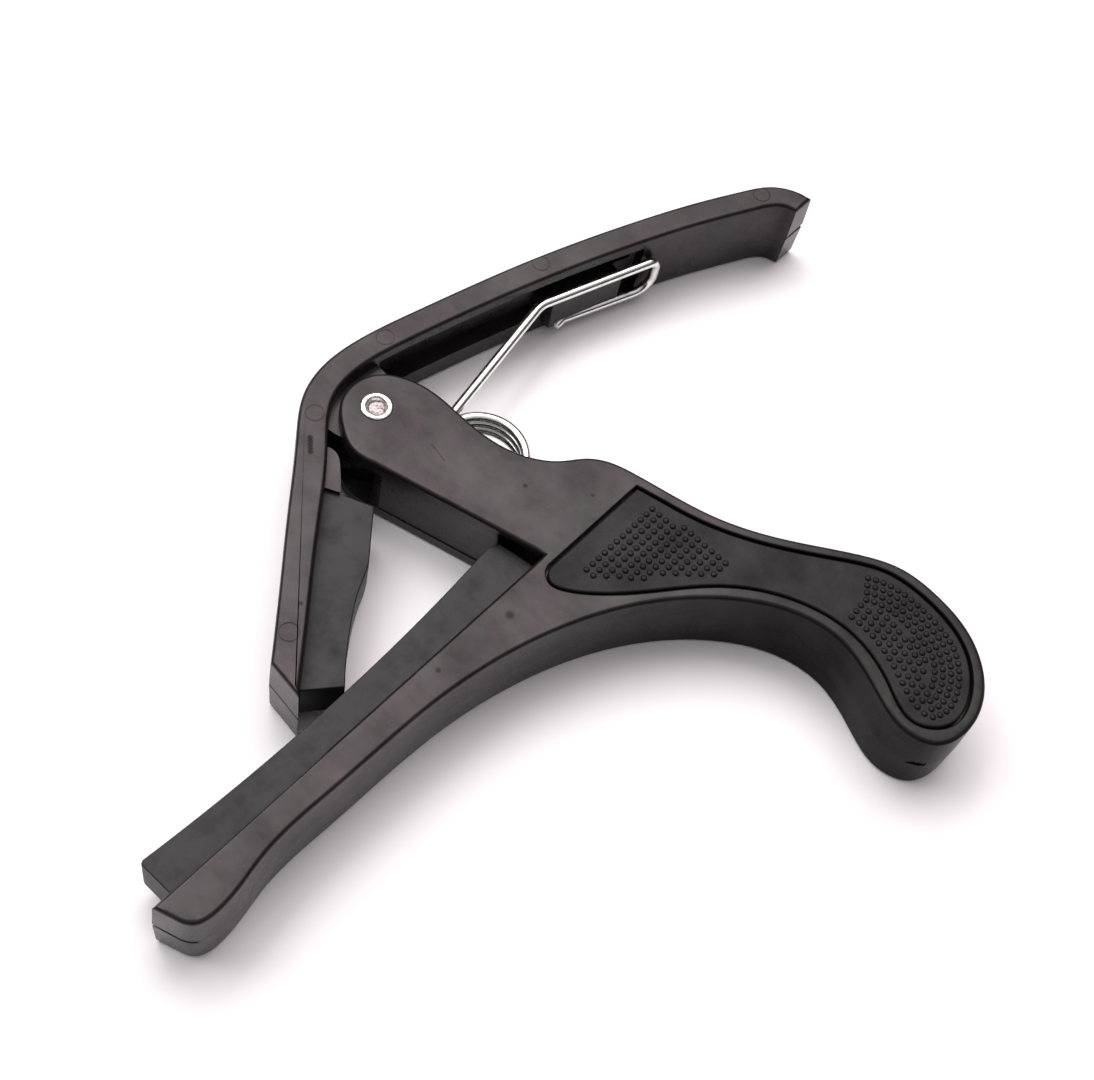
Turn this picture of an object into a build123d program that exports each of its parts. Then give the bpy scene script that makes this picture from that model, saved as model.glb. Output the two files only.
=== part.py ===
from build123d import *
import math
import os

# Guitar capo lying on its side. The origin is on the pivot axis, in the plane of the resting side face.
# +Z runs along the pivot axis, +X along the fret arm from its tip towards the handle, +Y from the fret
# arm towards the pivot. Lengths are in millimetres.

# Driving dimensions
THICK = 13.5            # both mouldings, along the pivot axis
MID = THICK / 2         # parting plane of the mouldings
EDGE = 0.45             # rounding of the outer edges of both side faces
CHEEK = 2.3             # thickness of each pivot cheek
SIDE_GAP = 0.15         # gap on each side between the lug and a cheek
WALL = 2.0              # wall that joins the two cheeks
ARM_TOP = -32.0         # seat of the fret pad
PAD_WIDTH = 7.1         # both rubber pads, along the pivot axis
PAD_SINK = 0.8          # depth of each pad's locating groove
PAD_GAP = 0.3           # gap between the two pads with the jaw closed
GRIP_DEPTH = 1.3        # pocket for each grip inlay
NEAR_STEP = 0.1         # the upper inlay's face lies this far below the side face
FAR_STEP = 0.3          # same for the lower inlay, so that its dots stay clear of the resting plane
GRIP_GAP = 0.3          # groove left open around each inlay
RIVET_R = 1.6           # shank of the pivot rivet
RIVET_FIT = 0.03        # radial clearance of the shank in the lug and the cheeks
HEAD_R = 2.9            # factory head of the rivet
HEAD_H = 0.85
ROLL_R = 2.25           # rolled end of the rivet
ROLL_H = 0.3
LUG_R = 5.7
LUG_LOW = CHEEK + SIDE_GAP
LUG_HIGH = THICK - CHEEK - SIDE_GAP
WIRE = 1.5              # diameter of the spring wire
COIL_X, COIL_Y = 7.7, -13.5
COIL_R = 6.6            # mean radius of the coil
COIL_PITCH = 1.6
COIL_TURNS = 3
NEAR_STRAND = 9.3       # height of the spring's upper leg
FAR_STRAND = 2.4        # height of its return strand
FIRST_BEND = (33.0, -2.0)   # where the upper leg turns along the upper handle
END_BEND = (52.8, -8.3)     # and where it crosses to its return strand
UPPER_ANGLE = 10.71     # direction in which the upper leg leaves the coil, degrees
LEG_R = WIRE / 2 - 0.03   # legs, drawn down slightly from the coil
JOIN = 0.3              # overlap of each straight leg with the coil
LEG_LENGTH = 25.0       # hidden leg in the lower handle
LEG_ANGLE = -65.0       # direction of the hidden leg, degrees
FLANGE_NEAR = 1.9       # walls of the channel under the upper handle
FLANGE_FAR = 4.1
SEAT_LOW = 1.5          # lower end of the wider seat at the end of the channel

# Corner points of the fret arm and cheeks, and the free-form edges between them
TIP_CORNER = (-70.1, ARM_TOP)
WALL_FOOT = (-0.2, ARM_TOP)
WALL_HEAD = (-6.95, -6.3)
BAR_TIP = (-38.6, -24.7)
BAR_ALONG = Vector(28.95, 24.35).normalized()
BAR_ACROSS = Vector(-BAR_ALONG.Y, BAR_ALONG.X)
NECK_PAD_START = 2.4    # ends of the neck pad along the bar
NECK_PAD_END = 33.1


def moulding(face):
    """A moulding as thick as the capo."""
    return extrude(face, THICK, dir=(0, 0, 1))


def round_side_faces(solid):
    """Round the outer edges of the two side faces."""
    rim = solid.edges().filter_by_position(Axis.Z, THICK - 0.01, THICK + 0.01)
    rim += solid.edges().filter_by_position(Axis.Z, -0.01, 0.01)
    return fillet(rim, EDGE)


def slab(outline, low, high):
    """A straight prism between two heights."""
    return extrude(Pos(0, 0, low) * make_face(outline), high - low, dir=(0, 0, 1))


def closed(*points):
    return Polyline(*points, close=True)


def body_face():
    """Fret arm, cheeks and lower handle in one outline."""
    top = Line(TIP_CORNER, WALL_FOOT)
    wall = Line(WALL_FOOT, WALL_HEAD)
    rim = Spline(
        WALL_HEAD, (-7.5, -2.6), (-5.6, 1.6), (-3.1, 4.2), (0.2, 5.2), (3.6, 4.4), (6.5, 1.3), (7.9, -2.9),
        (8.1, -8.0), (8.1, -12.5), (8.7, -16.4), (10.2, -20.1), (12.9, -23.4), (15.9, -25.6), (18.0, -28.4),
        (19.2, -32.0), (20.4, -37.3), (22.2, -44.1), (26.5, -53.0), (33.0, -62.8), (35.5, -68.1),
        (35.9, -74.0), (34.4, -81.1), (28.6, -88.0), (22.3, -89.7), (17.3, -87.9), (15.6, -83.0),
        (17.4, -77.0), (19.7, -69.5), (18.7, -62.8), (14.0, -55.1), (5.0, -47.2), (-7.9, -41.0),
        (-25.0, -37.4), (-44.0, -36.7), (-56.0, -36.9), (-64.5, -38.2), (-67.7, -37.5), (-69.2, -34.9))
    end = Line((-69.2, -34.9), TIP_CORNER)
    return make_face([top, wall, rim, end])


def hollow():
    """Space between the cheeks for the lug and the coil, open at the top and on the handle side."""
    slope = (WALL_FOOT[0] - WALL_HEAD[0]) / (WALL_FOOT[1] - WALL_HEAD[1])
    inner_x = WALL_HEAD[0] + WALL * 1.03
    low_head = (WALL_HEAD[0] - 1.7 * slope, -8.0)
    high_head = (inner_x - 1.1 * slope, -5.2)
    foot = (inner_x + slope * (-20.0 - WALL_HEAD[1]), -20.0)
    outline = [
        Line((-14, 14), (-14, low_head[1])),
        Line((-14, low_head[1]), low_head),
        Line(low_head, high_head),
        Line(high_head, foot),
        ThreePointArc(foot, (COIL_X, COIL_Y - 8.9), (COIL_X + 9.0, COIL_Y - 5.4)),
        Line((COIL_X + 9.0, COIL_Y - 5.4), (26, 14)),
        Line((26, 14), (-14, 14))]
    return slab(outline, CHEEK, THICK - CHEEK)


def leg_start():
    """Where the hidden leg leaves the coil, on the wire's centre line."""
    angle = math.radians(LEG_ANGLE - 90)
    return COIL_X + COIL_R * math.cos(angle), COIL_Y + COIL_R * math.sin(angle)


def leg_slot():
    """Slot in the lower handle for the hidden leg of the spring."""
    width = WIRE + 0.8
    length = LEG_LENGTH + 1.5
    x, y = leg_start()
    slot = Box(length, width, 2 * (MID - 3.2), align=(Align.MIN, Align.CENTER, Align.CENTER))
    return Location((x, y, MID), (0, 0, LEG_ANGLE)) * slot


def grip_block(grow, depth):
    """Block with the outline of a grip inlay widened by an amount, standing on the pocket's floor."""
    start = Vector(0.0, -34.0 + grow)
    corner = Vector(17.4 + grow, -34.0 + grow)
    rim = [
        (18.1, -37.0), (19.3, -42.0), (23.2, -51.3), (29.8, -61.4), (33.2, -67.5), (33.8, -73.0),
        (31.6, -82.0), (26.3, -86.7), (20.9, -87.2), (17.8, -83.6), (19.8, -77.7), (22.1, -69.0),
        (20.2, -60.6), (14.3, -52.1), (5.0, -44.7), (0.0, -40.1), (-1.9, -37.6), (-2.5, -35.7),
        (-1.7, -34.4)]
    rim = [Vector(point) for point in rim]
    points = [corner]
    for before, here, after in zip([corner] + rim[:-1], rim, rim[1:] + [start]):
        along = (after - before).normalized()
        points.append(here + Vector(-along.Y, along.X) * grow)
    points.append(start)
    outline = [Line(start, corner), Spline(points)]
    return slab(outline, THICK - GRIP_DEPTH, THICK - GRIP_DEPTH + depth)


def main_body():
    body = round_side_faces(moulding(body_face()))
    body -= hollow()
    body -= leg_slot()
    # recess in the wall that takes the end of the fret pad
    body -= slab(closed((-6, ARM_TOP), (2.6, ARM_TOP), (2.6, -25.4), (-6, -25.4)), 0.9, THICK - 0.9)
    # locating groove of the fret pad
    groove = closed(
        (-66.9, ARM_TOP - PAD_SINK), (-0.3, ARM_TOP - PAD_SINK), (-0.3, ARM_TOP + 1), (-66.9, ARM_TOP + 1))
    body -= slab(groove, MID - PAD_WIDTH / 2, MID + PAD_WIDTH / 2)
    pocket = grip_block(GRIP_GAP, 2 * GRIP_DEPTH)
    body -= pocket
    body -= mirror(pocket, Plane.XY.offset(MID))
    body -= Pos(0, 0, MID) * Cylinder(RIVET_R + RIVET_FIT, THICK + 2)
    body -= Pos(0, 0, 0) * Cylinder(HEAD_R + 0.1, 2 * (HEAD_H + 0.05))
    return body


def lever_face():
    """Bar behind the neck and upper handle: a bent strip with a hooked lip."""
    end = Line(BAR_TIP, (-37.8, -18.4))
    outer = Spline(
        (-37.8, -18.4), (-29.2, -11.0), (-20.6, -3.5), (-12.0, 3.9), (-5.9, 8.7), (0.2, 10.4),
        (6.0, 10.2), (16.0, 8.2), (34.0, 3.7), (52.0, -2.1), (64.0, -6.8), (70.5, -9.8), (74.8, -12.4),
        (77.1, -15.8), (77.7, -18.4))
    lip = Line((77.7, -18.4), (73.6, -18.4))
    inner = Spline(
        (73.6, -18.4), (72.9, -16.4), (69.5, -14.1), (60.1, -9.9), (50.1, -6.1), (36.0, -1.5),
        (20.0, 2.8), (10.0, 5.1), (2.0, 6.1), (-3.0, 5.1), (-9.65, -0.35), (-19.3, -8.5), (-28.9, -16.6),
        BAR_TIP)
    return make_face([end, outer, lip, inner])


def lever_channel():
    """Channel under the upper handle, and the deeper seat at its end."""
    floor = Spline((6.6, 8.1), (20.0, 5.1), (34.0, 1.2), (50.6, -4.2))
    outline = [
        floor,
        Line((50.6, -4.2), (50.6, -12)),
        Line((50.6, -12), (6.6, -2)),
        Line((6.6, -2), (6.6, 8.1))]
    channel = slab(outline, FLANGE_FAR, THICK - FLANGE_NEAR)
    seat = closed((47.6, -3.6), (51.5, -4.9), (50.7, -12), (46.8, -9))
    return channel + slab(seat, SEAT_LOW, THICK - FLANGE_NEAR)


def lever_lug():
    """Pivot lug between the cheeks, its web to the strip, and the shelf at the end of the neck pad."""
    lug = Pos(0, 0, MID) * Cylinder(LUG_R, LUG_HIGH - LUG_LOW)
    web = closed((-6.5, 3.6), (-6.3, 1.9), (-5.3, -2.0), (5.4, -1.8), (6.4, 6.4), (2, 8.0), (-3.5, 6.4))
    shelf = closed(
        (-12.6, -1.8), (-13.0, -3.3), (-12.2, -5.5), (-9.6, -2.7), (-8.1, -0.4), (-8.2, 1.2), (-9.6, 2.4))
    return lug + slab(web, LUG_LOW, LUG_HIGH) + slab(shelf, LUG_LOW, LUG_HIGH)


def neck_lever():
    lever = round_side_faces(moulding(lever_face()))
    lever -= lever_channel()
    lever += lever_lug()
    # locating groove of the neck pad, along the front of the bar
    length = NECK_PAD_END - NECK_PAD_START + 0.4
    groove = Box(length, 2 * PAD_SINK, PAD_WIDTH, align=(Align.MIN, Align.CENTER, Align.CENTER))
    start = Vector(BAR_TIP) + BAR_ALONG * (NECK_PAD_START - 0.2)
    slope = math.degrees(math.atan2(BAR_ALONG.Y, BAR_ALONG.X))
    lever -= Location((start.X, start.Y, MID), (0, 0, slope)) * groove
    lever -= Pos(0, 0, MID) * Cylinder(RIVET_R + RIVET_FIT, THICK + 2)
    return lever


def fret_pad():
    """Rubber pad with a shallow concave pressing face."""
    low = ARM_TOP - PAD_SINK
    outline = [
        Line((-66.7, low), (-0.6, low)),
        Line((-0.6, low), (-1.7, -25.9)),
        Line((-1.7, -25.9), (-3.2, -25.2)),
        ThreePointArc((-3.2, -25.2), (-35.0, -27.1), (-66.1, -26.0)),
        Line((-66.1, -26.0), (-66.7, -26.6)),
        Line((-66.7, -26.6), (-66.7, low))]
    return slab(outline, MID - PAD_WIDTH / 2, MID + PAD_WIDTH / 2)


def neck_pad():
    """Wedge-shaped rubber pad whose face is hollowed for the back of the neck."""
    back = Vector(BAR_TIP) + BAR_ACROSS * (PAD_SINK - 0.05)
    tip = back + BAR_ALONG * NECK_PAD_START
    heel = back + BAR_ALONG * NECK_PAD_END
    outline = [
        Line(tip, heel),
        Line(heel, (-10.2, -10.0)),
        Line((-10.2, -10.0), (-16.6, -15.5)),
        Spline((-16.6, -15.5), (-18.2, -16.5), (-20.4, -17.6), (-24.9, -20.5), (-32.1, -26.9 + PAD_GAP)),
        Line((-32.1, -26.9 + PAD_GAP), tip)]
    return slab(outline, MID - PAD_WIDTH / 2, MID + PAD_WIDTH / 2)


def grip_near():
    return grip_block(0, GRIP_DEPTH - NEAR_STEP)


def grip_far():
    return mirror(grip_block(0, GRIP_DEPTH - FAR_STEP), Plane.XY.offset(MID))


def tube(path, radius):
    """Round wire swept along a path."""
    return sweep(Plane(origin=path @ 0, z_dir=path % 0) * Circle(radius), path=path)


def torsion_spring():
    """U-shaped end, bent upper leg, close coil and straight hidden leg."""
    first_bend = Vector(*FIRST_BEND, NEAR_STRAND)
    top_angle = UPPER_ANGLE + 90
    top = Vector(COIL_X, COIL_Y, NEAR_STRAND) + Vector(COIL_R, 0, 0).rotate(Axis.Z, top_angle)
    start = top - (first_bend - top).normalized() * JOIN
    upper = FilletPolyline(
        start, first_bend, (*END_BEND, NEAR_STRAND), (*END_BEND, FAR_STRAND), (38.0, -3.2, FAR_STRAND),
        (36.1, -3.4, FAR_STRAND), radius=[5.0, 1.7, 3.2, 1.2])
    turns = COIL_TURNS + (LEG_ANGLE + 270 - top_angle) / 360
    low = NEAR_STRAND - turns * COIL_PITCH
    coil = tube(Helix(COIL_PITCH, turns * COIL_PITCH, COIL_R, lefthand=True), WIRE / 2)
    coil = Location((COIL_X, COIL_Y, low), (0, 0, LEG_ANGLE - 90)) * coil
    x, y = leg_start()
    leg_way = Vector(1, 0, 0).rotate(Axis.Z, LEG_ANGLE)
    leg = Line(Vector(x, y, low) - leg_way * JOIN, Vector(x, y, low) + leg_way * LEG_LENGTH)
    return coil + tube(upper, LEG_R) + tube(leg, LEG_R)


def pivot_rivet():
    """Semi-tubular rivet: factory head on the resting side, rolled end on the other."""
    top = THICK + ROLL_H
    profile = [
        Line((0, 0), (HEAD_R - 0.6, 0)),
        ThreePointArc((HEAD_R - 0.6, 0), (HEAD_R - 0.15, 0.2), (HEAD_R, HEAD_H)),
        Line((HEAD_R, HEAD_H), (RIVET_R, HEAD_H)),
        Line((RIVET_R, HEAD_H), (RIVET_R, THICK)),
        Line((RIVET_R, THICK), (ROLL_R, THICK)),
        ThreePointArc((ROLL_R, THICK), (ROLL_R - 0.2, top - 0.05), (ROLL_R - 0.55, top)),
        ThreePointArc((ROLL_R - 0.55, top), (ROLL_R - 0.95, top - 0.15), (1.1, THICK - 0.6)),
        Line((1.1, THICK - 0.6), (0, THICK - 0.6)),
        Line((0, THICK - 0.6), (0, 0))]
    face = make_face([Plane.XZ * piece for piece in profile])
    return revolve(face, Axis.Z)


PARTS = {
    "main_body": main_body,
    "neck_lever": neck_lever,
    "fret_pad": fret_pad,
    "neck_pad": neck_pad,
    "grip_near": grip_near,
    "grip_far": grip_far,
    "torsion_spring": torsion_spring,
    "pivot_rivet": pivot_rivet,
}

os.makedirs("parts", exist_ok=True)
for name, make in PARTS.items():
    shape = make()
    shape.label = name
    export_step(shape, f"parts/{name}.step")
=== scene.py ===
import bpy
import bmesh
import math
import random
import numpy as np
from mathutils import Matrix, Vector


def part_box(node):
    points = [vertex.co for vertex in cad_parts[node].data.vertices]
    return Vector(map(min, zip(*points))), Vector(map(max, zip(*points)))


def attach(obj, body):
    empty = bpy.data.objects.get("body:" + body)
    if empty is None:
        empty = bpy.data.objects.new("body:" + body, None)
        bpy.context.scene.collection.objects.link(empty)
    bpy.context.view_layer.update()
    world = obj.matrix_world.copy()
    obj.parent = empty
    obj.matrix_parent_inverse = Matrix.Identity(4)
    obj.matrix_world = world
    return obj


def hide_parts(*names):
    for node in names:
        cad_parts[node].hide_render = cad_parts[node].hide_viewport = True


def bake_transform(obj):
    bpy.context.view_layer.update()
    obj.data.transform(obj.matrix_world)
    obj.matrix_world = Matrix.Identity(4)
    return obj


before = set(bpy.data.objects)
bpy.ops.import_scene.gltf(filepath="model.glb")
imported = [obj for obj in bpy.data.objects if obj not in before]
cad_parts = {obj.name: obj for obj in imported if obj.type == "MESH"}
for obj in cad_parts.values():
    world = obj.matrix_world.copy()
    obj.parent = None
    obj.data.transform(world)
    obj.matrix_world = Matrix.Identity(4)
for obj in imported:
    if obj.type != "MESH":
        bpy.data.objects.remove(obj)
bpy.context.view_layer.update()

# Spring-loaded guitar capo: two plastic mouldings on one rivet, two rubber pads, two inlays and a torsion spring.
# Lengths are in millimetres of the row frame unless a comment says otherwise; meshes are scaled to metres.
MM = 0.001
random.seed(7)
scene = bpy.context.scene
scene.view_settings.view_transform = "Standard"

# ---------------------------------------------------------------- camera
# Place (in metres), direction and lens follow the photograph's perspective.
CAMERA_PLACE = (-0.10967, -0.09077, 0.23167)
LENS_MM, SENSOR_MM = 60.88, 36.0

camera = bpy.data.objects.new("camera", bpy.data.cameras.new("camera"))
scene.collection.objects.link(camera)
right = Vector((0.66821, -0.73045, 0.14120))
up = Vector((0.59832, 0.64044, 0.48160))
ahead = Vector((0.44221, 0.23733, -0.86500))
turn = Matrix((right, up, -ahead)).transposed()
camera.matrix_world = Matrix.Translation(CAMERA_PLACE) @ turn.to_4x4()
camera.data.lens = LENS_MM
camera.data.sensor_width = SENSOR_MM
camera.data.clip_start = 0.005
camera.data.clip_end = 20.0
scene.camera = camera

# ---------------------------------------------------------------- sizes shared with the CAD
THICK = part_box("main_body")[1].z / MM
MID = THICK / 2
EDGE = 0.62             # radius of the mouldings' rims
DRAFT = 0.14            # the sides lean in by this much from the parting plane to each side face
CHEEK = 2.3             # thickness of each pivot cheek
LUG_GAP = 0.15          # play between the lever's lug and each cheek
LUG_LOW, LUG_HIGH = CHEEK + LUG_GAP, THICK - CHEEK - LUG_GAP
ARM_TOP = -32.0         # y of the fret arm's face under the pad
PAD_LOW, PAD_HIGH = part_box("fret_pad")[0].z / MM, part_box("fret_pad")[1].z / MM
PAD_RIM = 0.22          # radius of the pads' rims
GRIP_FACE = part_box("grip_near")[1].z / MM
GRIP_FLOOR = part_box("grip_near")[0].z / MM
GRIP_FACE_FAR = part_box("grip_far")[0].z / MM
GRIP_RIM_R = 0.34       # radius of the inlays' rims
GROOVE = 0.3            # gap round each inlay
BORE_R = 1.63
HEAD_BORE_R, HEAD_DEPTH = 3.0, 0.9      # counterbore for the rivet's factory head
CHANNEL_TOP = THICK - 1.9               # near side of the lever's channel and spring seat
WIRE_R = 0.75           # radius of the spring's wire
COIL_CENTRE, COIL_R = (7.7, -13.5), 6.6
FOOT_ANGLE = -155.0     # degrees round the coil at which it passes into the hidden leg
LEG_ANGLE = -65.0       # degrees, the direction of that leg

# ---------------------------------------------------------------- curves in the plane


def spline(points, step=0.55):
    """Smooth curve through the points, sampled about every step."""
    p = np.array(points, float)
    h = np.linalg.norm(np.diff(p, axis=0), axis=1)
    d = np.diff(p, axis=0) / h[:, None]
    n = len(p)
    a = np.zeros((n, n))
    b = np.zeros_like(p)
    a[0, 0] = a[-1, -1] = 1
    b[0] = d[0] + (d[0] - d[1]) * h[0] / (h[0] + h[1])
    b[-1] = d[-1] + (d[-1] - d[-2]) * h[-1] / (h[-1] + h[-2])
    for i in range(1, n - 1):
        a[i, i - 1] = 1 / h[i - 1]
        a[i, i] = 2 / h[i - 1] + 2 / h[i]
        a[i, i + 1] = 1 / h[i]
        b[i] = 3 * (d[i - 1] / h[i - 1] + d[i] / h[i])
    m = np.linalg.solve(a, b)
    out = []
    for i in range(n - 1):
        for t in np.linspace(0, 1, max(2, math.ceil(h[i] / step)), endpoint=False):
            t2, t3 = t * t, t * t * t
            out.append(
                (2 * t3 - 3 * t2 + 1) * p[i] + (t3 - 2 * t2 + t) * h[i] * m[i]
                + (3 * t2 - 2 * t3) * p[i + 1] + (t3 - t2) * h[i] * m[i + 1])
    out.append(p[-1])
    return np.array(out)


def segment(a, b, step=1.2):
    """Points from a to b, both included."""
    a, b = np.array(a, float), np.array(b, float)
    count = max(2, math.ceil(np.linalg.norm(b - a) / step) + 1)
    return a + (b - a) * np.linspace(0, 1, count)[:, None]


def arc_through(a, b, c, count=24):
    """Points on the circle through a, b and c, from a to c."""
    (ax, ay), (bx, by), (cx, cy) = a, b, c
    k = 2 * (ax * (by - cy) + bx * (cy - ay) + cx * (ay - by))
    ux = ((ax**2 + ay**2) * (by - cy) + (bx**2 + by**2) * (cy - ay) + (cx**2 + cy**2) * (ay - by)) / k
    uy = ((ax**2 + ay**2) * (cx - bx) + (bx**2 + by**2) * (ax - cx) + (cx**2 + cy**2) * (bx - ax)) / k
    r = math.hypot(ax - ux, ay - uy)
    t0, tb, t1 = (math.atan2(y - uy, x - ux) for x, y in (a, b, c))
    turn_b = (tb - t0) % (2 * math.pi)
    turn_c = (t1 - t0) % (2 * math.pi)
    if turn_b > turn_c:
        turn_c -= 2 * math.pi
    angles = t0 + turn_c * np.linspace(0, 1, count)
    return np.c_[ux + r * np.cos(angles), uy + r * np.sin(angles)]


def loop(*runs):
    """One closed anticlockwise outline from runs of points, without repeated points."""
    p = np.vstack(runs)
    keep = np.linalg.norm(p - np.roll(p, 1, axis=0), axis=1) > 1e-3
    p = p[keep]
    q = np.roll(p, -1, axis=0)
    area = np.sum(p[:, 0] * q[:, 1] - q[:, 0] * p[:, 1])
    return p if area > 0 else p[::-1]


def clear_corners(p, reach=1.4, bend=28):
    """The outline without the points close to a sharp outward corner, so that it can be inset."""
    before, after = p - np.roll(p, 1, axis=0), np.roll(p, -1, axis=0) - p
    angle = np.degrees(np.arctan2(
        before[:, 0] * after[:, 1] - before[:, 1] * after[:, 0], np.sum(before * after, axis=1)))
    corners = p[angle > bend]
    gap = np.min(np.linalg.norm(p[:, None] - corners[None], axis=2), axis=1)
    return p[(gap > reach) | (gap < 1e-6)]


def rounded(corners, r, count):
    """Closed polygon with its corners rounded to radius r by count points each."""
    p = np.array(corners, float)
    out = []
    for i, here in enumerate(p):
        before, after = p[i - 1], p[(i + 1) % len(p)]
        u = (before - here) / np.linalg.norm(before - here)
        v = (after - here) / np.linalg.norm(after - here)
        half = math.acos(max(-1, min(1, float(u @ v)))) / 2
        reach = r / math.tan(half)
        centre = here + (u + v) / np.linalg.norm(u + v) * r / math.sin(half)
        a, b = here + u * reach - centre, here + v * reach - centre
        angle = math.atan2(a[0] * b[1] - a[1] * b[0], a @ b)
        for t in np.linspace(0, 1, count):
            c, s = math.cos(angle * t), math.sin(angle * t)
            out.append((centre + (a[0] * c - a[1] * s, a[0] * s + a[1] * c))[None])
    return loop(*out)


def inset(p, amount):
    """Outline moved inwards by an amount, one value or one for each point."""
    before, after = p - np.roll(p, 1, axis=0), np.roll(p, -1, axis=0) - p
    before /= np.linalg.norm(before, axis=1)[:, None]
    after /= np.linalg.norm(after, axis=1)[:, None]
    n = np.c_[-before[:, 1] - after[:, 1], before[:, 0] + after[:, 0]]
    n /= np.linalg.norm(n, axis=1)[:, None]
    cosine = np.clip(n[:, 0] * -before[:, 1] + n[:, 1] * before[:, 0], 0.5, 1)
    return p + n * (np.broadcast_to(amount, len(p)) / cosine)[:, None]


# ---------------------------------------------------------------- meshes


def new_object(name, bm):
    """Object in the scene made from a bmesh, which is freed."""
    mesh = bpy.data.meshes.new(name)
    bm.to_mesh(mesh)
    bm.free()
    thing = bpy.data.objects.new(name, mesh)
    scene.collection.objects.link(thing)
    return thing


def stack(name, outline, layers):
    """Closed solid from rings of one outline: layers are (inset, z), from the bottom up."""
    bm = bmesh.new()
    rings = []
    for amount, z in layers:
        q = inset(outline, amount)
        rings.append([bm.verts.new((x * MM, y * MM, z * MM)) for x, y in q])
    for low, high in zip(rings, rings[1:]):
        for i in range(len(low)):
            j = (i + 1) % len(low)
            bm.faces.new((low[i], low[j], high[j], high[i]))
    bm.faces.new(rings[0][::-1])
    bm.faces.new(rings[-1])
    return new_object(name, bm)


def rim(radius, z, rising, count):
    """Quarter round at the bottom or the top of a stack, as (inset, z) layers."""
    out = []
    for k in range(count + 1):
        t = math.pi / 2 * k / count
        if rising:
            out.append((radius * (1 - math.sin(t)), z + radius * (1 - math.cos(t))))
        else:
            out.append((radius * (1 - math.cos(t)), z - radius * (1 - math.sin(t))))
    return out


def prism(name, outline, low, high, soft=0.0):
    """Straight solid between two heights, with rounded rims if soft is given."""
    if soft:
        return stack(name, outline, rim(soft, low, True, 3) + rim(soft, high, False, 3))
    return stack(name, outline, [(0, low), (0, high)])


def applied(thing):
    """The mesh of an object with its modifiers applied."""
    return bpy.data.meshes.new_from_object(thing.evaluated_get(bpy.context.evaluated_depsgraph_get()))


def cut(target, tool, how="DIFFERENCE"):
    """Boolean of two solids, applied to the first; the second is removed."""
    m = target.modifiers.new("cut", "BOOLEAN")
    m.operation = how
    m.solver = "MANIFOLD"
    m.object = tool
    result = applied(target)
    target.modifiers.clear()
    target.data = result
    bpy.data.objects.remove(tool)


def shade_smooth(thing, angle):
    """Smooth shading with sharp edges above an angle in degrees."""
    thing.data.polygons.foreach_set("use_smooth", [True] * len(thing.data.polygons))
    thing.data.set_sharp_from_angle(angle=math.radians(angle))


def finish_mesh(thing, angle=32):
    """Clean mesh, shaded smooth below an angle, with normals that keep flat faces flat."""
    bm = bmesh.new()
    bm.from_mesh(thing.data)
    bmesh.ops.triangulate(bm, faces=[f for f in bm.faces if len(f.verts) > 4])
    bmesh.ops.remove_doubles(bm, verts=bm.verts, dist=1e-6)
    bmesh.ops.dissolve_degenerate(bm, dist=1e-6, edges=bm.edges)
    bm.to_mesh(thing.data)
    bm.free()
    shade_smooth(thing, angle)
    m = thing.modifiers.new("weighted", "WEIGHTED_NORMAL")
    m.keep_sharp = True
    result = applied(thing)
    thing.modifiers.clear()
    thing.data = result
    return thing


def lathe(name, profile, count=64):
    """Solid of revolution about the pivot axis from (radius, z) points, the first and last on the axis."""
    bm = bmesh.new()
    rings = []
    for r, z in profile:
        if r < 1e-6:
            rings.append([bm.verts.new((0, 0, z * MM))])
        else:
            angles = [2 * math.pi * k / count for k in range(count)]
            rings.append([bm.verts.new((r * math.cos(t) * MM, r * math.sin(t) * MM, z * MM)) for t in angles])
    for a, b in zip(rings, rings[1:]):
        for k in range(count):
            j = (k + 1) % count
            if len(a) == 1:
                bm.faces.new((a[0], b[j], b[k]))
            elif len(b) == 1:
                bm.faces.new((a[k], a[j], b[0]))
            else:
                bm.faces.new((a[k], a[j], b[j], b[k]))
    bmesh.ops.recalc_face_normals(bm, faces=bm.faces)
    return new_object(name, bm)


# ---------------------------------------------------------------- materials


def rgb(r, g, b):
    """Linear colour from 0-255 display values."""
    linear = [((c / 255 + 0.055) / 1.055) ** 2.4 if c > 10 else c / 255 / 12.92 for c in (r, g, b)]
    return (*linear, 1.0)


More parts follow.
